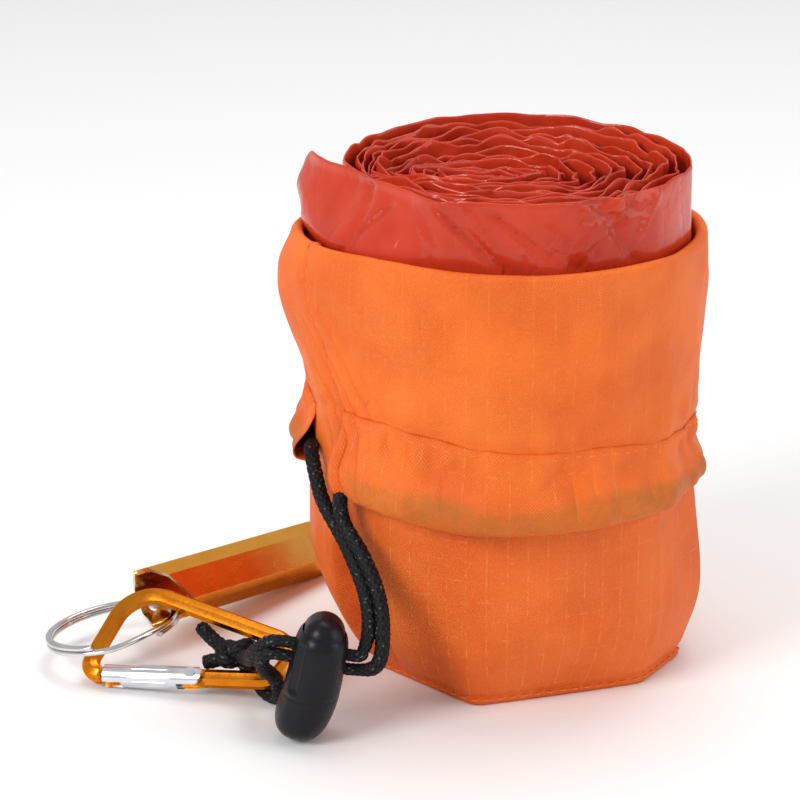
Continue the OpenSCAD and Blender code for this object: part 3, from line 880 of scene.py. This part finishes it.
def make_roll():
    a = np.arange(FREE_START, 360 * ROLL_TURNS, 1.5)
    x, y, inwards = roll_line(a)
    flat = stacked(x, y, 0)
    out = film_outward(flat[:, :2])
    radial = polar(180 + a, 1.0, 0)
    layer = stacked(x, y, a * 0.06)
    inner = np.clip(inwards * 9, 0, 1)
    top = film_top(a, layer, inwards, inner)
    lines = []
    for offset, depth in film_columns():
        z = np.maximum(top - depth, ROLL_BOTTOM + 0.2 + 2.5 * inwards)
        narrow = 0.70 + 0.30 * step(-12, 42, z)
        where = flat * narrow[:, None] + radial * film_spread(a, z, inwards)[:, None]
        where[:, 2] = z
        lines.append(where + out * (offset + film_shift(a, where, depth, layer, inner))[:, None])
    grid = np.stack(lines, axis=1)
    uv = stacked(a[:, None], np.arange(len(lines))).reshape(-1, 2)
    faces = grid_faces(*grid.shape[:2], False)
    piece = add_piece("film_roll", grid.reshape(-1, 3), faces, FILM, "roll", uv)
    thicken(piece, 0.1)
    stand_in(piece, "bivy_roll")


# ---- drawcord
def channel_point(angle):
    """A point of the cord inside the channel."""
    theta = np.array([float(angle)])
    share = 0.25
    z = hem_height(theta) * (1 - share) + seam_height(theta) * share
    return Vector(polar(theta, cuff_radius(theta, z) + 1.5, z)[0])


def lock_point(along, up):
    return LOCK_AT + along * LOCK_ALONG + up * LOCK_UP


HOLE_AT = lock_point(0, HOLE_Z)


def braid(along, around):
    """Cord radius with the diamond bumps of a round braid."""
    turn, rise = PLAITS * around / 2, math.pi * along / BRAID_PITCH * 2
    return CORD_R - 0.30 + 0.36 * np.abs(np.sin(turn + rise) * np.sin(turn - rise)) ** 0.6


def cord_along(path):
    """The cord along a path, thinner where the lock's hole grips it."""
    path = even(path, 0.22)
    gap = np.linalg.norm(path - np.asarray(HOLE_AT), axis=1)
    grip = 1 - 0.19 * (1 - step(9, 13, gap))
    return tube(path, lambda along, around: braid(along, around) * grip[:, None], 28)


# The cord's way from the channel to the lock and from the lock to the knot, measured from the lock's hole.
LEFT_IN = [(-2.3, 35.0, 34.7), (-1.1, 29.6, 30.7), (0.7, 25.2, 26.1), (5.9, 17.4, 18.9), (9.9, 9.6, 11.1),
           (10.9, 4.6, 4.9), (9.6, 0.9, 0.7)]
LEFT_OUT = [(-13.3, 3.2, 0.3), (-15.1, 8.2, -3.5), (-15.7, 13.4, -6.7), (-16.9, 18.8, -8.7)]
RIGHT_IN = [(4.4, 21.4, 28.7), (5.3, 19.2, 23.5), (9.4, 13.8, 18.1), (12.9, 8.0, 11.1), (13.9, 3.2, 3.9),
            (12.7, 0.2, -2.3)]
RIGHT_OUT = [(-12.7, 4.9, -4.6), (-10.3, 10.6, -10.0), (-9.3, 13.2, -15.0), (-10.3, 16.6, -17.4),
             (-13.3, 20.6, -17.3)]
# The two tails, measured from the knot.
TAILS = [[(0, 0, 0), (-4.9, 5.8, 0.2), (-8.9, 12.6, 1.1)], [(0, 0, 0), (-4, 0, -1.2), (-7.6, 0.8, -2.4)]]


def strand(angles, way_in, height, way_through, way_out):
    """One strand: round the channel, to the lock, through its hole and on to the knot."""
    through = [lock_point(along, height) for along in way_through]
    way_in, way_out = ([HOLE_AT + Vector(p) for p in way] for way in (way_in, way_out))
    points = [channel_point(angle) for angle in angles] + way_in + through + way_out + [KNOT_AT]
    return cord_along(spline(points, 8))


def make_cord():
    high_z, low_z = HOLE_Z + STRAND_GAP / 2, HOLE_Z - STRAND_GAP / 2
    parts = [strand(range(60, 196, 5), LEFT_IN, high_z, (8, 0, -9.6), LEFT_OUT),
             strand([*range(60, -136, -5), 224, 219], RIGHT_IN, low_z, (8, 0, -10.8), RIGHT_OUT)]
    for tail in TAILS:
        parts.append(cord_along(spline([KNOT_AT + Vector(p) for p in tail], 12)))
    t = np.radians(np.arange(0, 361, 6))
    trefoil = [np.cos(t) - 2 * np.cos(2 * t), -1.6 * np.sin(3 * t), np.sin(t) + 2 * np.sin(2 * t)]
    knot = np.asarray(KNOT_AT) + np.array([1.25, 1.0, 0.85]) * np.stack(trefoil, axis=1)
    parts.append(cord_along(knot))
    points, *rest = merge(parts, CORD, "stuff_sack")
    points[:, 2] = np.maximum(points[:, 2], 0.05)
    stand_in(add_piece("drawcord_braid", points, *rest), "drawcord")


# ---- hardware
SHARP = math.radians(35)  # edges that bend more than this stay sharp or are rounded


def refined(cad, name, material, bevel=0.0):
    """A smooth-shaded copy of a CAD node, with its edges rounded by bevel millimetres."""
    source = frame["nodes"][cad]
    made = bmesh.new()
    made.from_mesh(source.data)
    bmesh.ops.remove_doubles(made, verts=made.verts, dist=0.002 * MM)
    bmesh.ops.dissolve_limit(made, angle_limit=math.radians(1.0), verts=made.verts, edges=made.edges)
    mesh = bpy.data.meshes.new(name)
    made.to_mesh(mesh)
    made.free()
    mesh.materials.append(material)
    mesh.polygons.foreach_set("use_smooth", [True] * len(mesh.polygons))
    mesh.set_sharp_from_angle(angle=SHARP)
    piece = new_object(name, mesh)
    if bevel:
        adjust(piece.modifiers.new("Rounding", "BEVEL"), width=bevel * MM, segments=2,
               limit_method="ANGLE", angle_limit=SHARP, harden_normals=True)
    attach(piece, source["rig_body"])
    stand_in(piece, cad)
    return piece


def press_spring(piece):
    """Gives a spring its own copy of its mesh."""
    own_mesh(piece)


def clip_point(x, y, z=0.0):
    return CLIP_AT + float(x) * CLIP_X + float(y) * CLIP_Y + float(z) * CLIP_Z


def bend(a, p, b, radius, count):
    """The arc of the given radius that rounds the corner p between a and b, in a plane."""
    a, p, b = (np.array(q, float) for q in (a, p, b))
    u = (a - p) / np.linalg.norm(a - p)
    v = (b - p) / np.linalg.norm(b - p)
    half = math.acos(float(u @ v)) / 2
    middle = p + (u + v) / np.linalg.norm(u + v) * radius / math.sin(half)
    start = p + u * radius / math.tan(half) - middle
    end = p + v * radius / math.tan(half) - middle
    sweep = math.pi - 2 * half
    spokes = [start * math.sin((1 - k / count) * sweep) + end * math.sin(k / count * sweep)
              for k in range(count + 1)]
    return [middle + w / np.linalg.norm(w) * radius for w in spokes]


def clip_box(x0, x1, y0, y1, z0, z1):
    """A box in the carabiner's frame as (points, faces, uv)."""
    points = np.array([clip_point(x, y, z) for x in (x0, x1) for y in (y0, y1) for z in (z0, z1)])
    faces = [(0, 1, 3, 2), (4, 6, 7, 5), (0, 4, 5, 1), (2, 3, 7, 6), (0, 2, 6, 4), (1, 5, 7, 3)]
    return points, faces, np.zeros((8, 2))


def make_carabiner():
    """The bar, with eight soft flats round it, and the tongues at its two ends."""
    bar_r, side, start = 2.1, 49.0, 29.4
    gate_nose, tail, narrow, top = (0, 0), (side, 0), (side - 1.5, 10), (7.5, 24)
    flat = [np.array([start, 0.0]), np.array([start + 6, 0.0])]
    flat += bend(gate_nose, tail, narrow, 5.5, 14) + bend(tail, narrow, top, 5.5, 14)
    flat += bend(narrow, top, gate_nose, 9, 22) + bend(top, gate_nose, tail, 3.6, 18)
    path = even(np.array([clip_point(*p) for p in flat]), 0.45)
    eighth = math.pi / 4

    def section(along, around):
        flats = (math.cos(eighth / 2) / np.cos((around + eighth / 2) % eighth - eighth / 2)) ** 1.15
        whole = along[-1, 0]
        ends = np.minimum(along, whole - along)
        return bar_r * flats * (0.86 + 0.14 * np.sqrt(np.clip(ends / 0.6, 0, 1)))

    parts = [tube(path, section, 48),
             clip_box(PIVOT_X - 2, start + 0.6, -1.9, 1.9, -0.95, 0.95),
             clip_box(3.2, 9.3, -1.6, 1.6, -0.95, 0.95)]
    piece = add_piece("carabiner_bar", *merge(parts, ORANGE_METAL, "carabiner"))
    piece.data.set_sharp_from_angle(angle=math.radians(40))
    stand_in(piece, "carabiner_body")


def make_gate_ribs():
    """Long soft ribs rolled into the gate's tube, between its two slots."""
    first, last, count, reach = 10.2, 23.2, 14, 2.36
    thick = 0.36 * np.sin(np.linspace(0.12, math.pi - 0.12, 12)) ** 0.4
    parts = []
    for k in range(count):
        turn = 2 * math.pi * k / count
        y, z = reach * math.cos(turn), reach * math.sin(turn)
        path = np.array([clip_point(x, y, z) for x in np.linspace(first, last, 12)])
        parts.append(tube(path, lambda s, a: thick[:, None] * np.ones_like(a), 12))
    piece = add_piece("gate_ribs", *merge(parts, BARE_METAL, "gate"))


def make_ring():
    """Two turns of flattened wire, stepping from one level to the other over a short stretch."""
    radius, width, height = 14.85, 0.88, 0.56
    centre = (low("split_ring") + high("split_ring")) / 2
    tilt = Euler((math.radians(-3.8), math.radians(-10.5), 0)).to_matrix()
    path = []
    for a in np.arange(32, 688.1, 2.0):
        level = 1.21 * (float(step(334, 386, a)) - 0.5)
        angle = math.radians(a - 70)
        path.append(centre + tilt @ Vector((radius * math.cos(angle), radius * math.sin(angle), level)))

    def section(along, around):
        c, s = np.abs(np.cos(around)), np.abs(np.sin(around))
        return ((c / height) ** 3 + (s / width) ** 3) ** (-1 / 3) * np.ones_like(along)

    points, faces, uv = tube(np.array(path), section, 24)
    stand_in(add_piece("split_ring_wire", points, faces, CHROME, "ring", uv), "split_ring")


def bare_the_cut(piece):
    """Gives the faces that cross the tube at its open end the raw metal under the anodising."""
    points = np.array([v.co for v in piece.data.vertices])
    middle = points.mean(axis=0)
    axis = np.linalg.svd(points - middle, full_matrices=False)[2][0]
    open_end = points[points[:, 0].argmin()]
    axis *= -np.sign((open_end - middle) @ axis)
    piece.data.materials.append(RAW_EDGE)
    for face in piece.data.polygons:
        along = (np.array(face.center) - middle) @ axis
        if abs(np.array(face.normal) @ axis) > 0.3 and along < -6 * MM:
            face.material_index = 1


# The barrel's outline from foot to rim, as (height, share of its full width).
BARREL_SHAPE = [(0.15, 0.20), (0.4, 0.42), (1.2, 0.66), (2.6, 0.86), (4.6, 0.98), (7.0, 1.03), (11.0, 1.035),
                (14.5, 1.03), (18.0, 1.015), (21.0, 1.0), (23.3, 0.97), (24.9, 0.90), (25.6, 0.83)]


def cut_cord_hole(piece):
    """Cuts the slot for the cord's two strands through both walls of the barrel."""
    sides, reach = 24, 11.0
    points = []
    for along in (-reach, reach):
        for k in range(sides):
            turn = 2 * math.pi * k / sides
            up = SLOT_R * math.sin(turn) + math.copysign(STRAND_GAP / 2, math.sin(turn + 0.01))
            points.append(lock_point(along, HOLE_Z + up) + SLOT_R * math.cos(turn) * LOCK_ACROSS)
    mesh = bpy.data.meshes.new("slot_cutter")
    mesh.from_pydata([p * MM for p in points], [], ring_faces(2, sides))
    cutter = new_object("slot_cutter", mesh)
    cut = adjust(piece.modifiers.new("cord_hole", "BOOLEAN"), operation="DIFFERENCE", solver="EXACT",
                 object=cutter)
    seen = piece.evaluated_get(bpy.context.evaluated_depsgraph_get())
    piece.data = bpy.data.meshes.new_from_object(seen)
    piece.modifiers.remove(cut)
    bpy.data.objects.remove(cutter)
    piece.data.set_sharp_from_angle(angle=math.radians(40))


def make_barrel():
    """A moulded barrel, widest low down, with a flat guide strip, a seam line and an open top."""
    half_w, half_d, power, bore = 6.0, 7.5, 2.25, 0.785 / 0.815
    around = np.linspace(0, 2 * math.pi, 120, endpoint=False)
    c, s = np.cos(around), np.sin(around)
    oval = ((np.abs(c) / half_w) ** power + (np.abs(s) / half_d) ** power) ** (-1 / power)
    gap = turn_gap(np.degrees(around), 229)
    outline = even(spline([(share, z, 0) for z, share in BARREL_SHAPE], 8), 0.32)
    rings = []
    for share, z, _ in outline:
        r = oval * share
        strip = (1 - step(10.5, 12.0, np.abs(gap))) * step(12.0, 12.8, z) * (1 - step(23.2, 23.9, z))
        r = r * (1 - strip) + strip * (r.min() + 0.35) / np.cos(np.radians(np.clip(gap, -14, 14)))
        r = r - 0.16 * hump(z, 11.6 + 0.9 * c, 0.28)
        lean = -1.3 * (1 - step(0, 13, z))
        rings.append((r * c + lean, r * s, z))
    # over the rim and down the bore to its floor
    rim_x, rim_y, rim_z = rings[-1]
    for share, z in ((0.985, rim_z + 0.12), (bore, rim_z), (bore, 20), (bore, 8), (0.3, 6)):
        rings.append((rim_x * share, rim_y * share, z))
    points = [lock_point(float(x), float(z)) + float(y) * LOCK_ACROSS
              for xs, ys, z in rings for x, y in zip(xs, ys)]
    faces = ring_faces(len(rings), len(around))
    piece = add_piece("lock_barrel", points, faces, BLACK_PLASTIC, "cord_lock", np.zeros((len(points), 2)))
    cut_cord_hole(piece)
    stand_in(piece, "cord_lock_barrel")


def make_hardware():
    make_barrel()
    refined("cord_lock_button", "lock_button_cap", BLACK_PLASTIC, 0.25)
    spring = refined("cord_lock_spring", "lock_spring", SPRING_STEEL)
    press_spring(spring)
    make_carabiner()
    refined("carabiner_gate", "carabiner_gate_tube", BARE_METAL, 0.12)
    make_gate_ribs()
    refined("gate_rivet", "gate_rivet_pin", BARE_METAL, 0.08)
    refined("gate_pusher", "gate_pusher_pin", SPRING_STEEL, 0.1)
    spring = refined("gate_spring", "gate_spring_coil", SPRING_STEEL)
    press_spring(spring)
    make_ring()
    bare_the_cut(refined("whistle_tube", "whistle_tube_shell", WHISTLE_METAL, 0.3))
    refined("whistle_fipple", "whistle_windway_block", WHISTLE_METAL, 0.15)
    refined("whistle_end_plug", "whistle_stopper", WHISTLE_METAL, 0.15)


# ---- studio
CAMERA_AT = (-0.0236, -0.696, 0.301)  # metres
CAMERA_DOWN = 19.06  # degrees below the horizon


def area_light(name, place_at, size, power):
    """A square light that faces the middle of the object."""
    data = adjust(bpy.data.lights.new(name, "AREA"), size=size, energy=power)
    aim = (Vector((0, 0, 0.06)) - Vector(place_at)).to_track_quat("-Z", "Y").to_euler()
    adjust(new_object(name, data), location=place_at, rotation_euler=aim)


def make_studio():
    reach = 6.0
    corners = [(x * reach, y * reach, 0) for x, y in ((-1, -1), (1, -1), (1, 1), (-1, 1))]
    mesh = bpy.data.meshes.new("floor")
    mesh.from_pydata(corners, [], [(0, 1, 2, 3)])
    start_material("floor_white", Roughness=0.7, Base_Color=rgb(0.92, 0.92, 0.92))
    mesh.materials.append(Making.material)
    new_object("floor", mesh)

    area_light("key", (-0.85, -0.75, 0.75), 0.5, 9.0)
    area_light("fill", (1.0, -0.35, 0.45), 0.7, 3.0)
    area_light("top", (0.1, 0.3, 1.1), 0.7, 5.0)

    world = bpy.data.worlds.new("studio")
    world.use_nodes = True
    background = world.node_tree.nodes["Background"]
    background.inputs["Color"].default_value = rgb(1.0, 1.0, 1.0)
    background.inputs["Strength"].default_value = 0.56
    bpy.context.scene.world = world
    bpy.context.scene.view_settings.view_transform = "Standard"

    camera = new_object("camera", adjust(bpy.data.cameras.new("camera"), lens=144, sensor_width=36))
    adjust(camera, location=CAMERA_AT, rotation_euler=(math.radians(90 - CAMERA_DOWN), 0, 0))
    bpy.context.scene.camera = camera


make_wall()
make_base()
make_cuff()
make_channel()
make_stitches()
make_roll()
make_cord()
make_hardware()
make_studio()


def corners(box):
    return [[float(v) for v in corner] for corner in box]
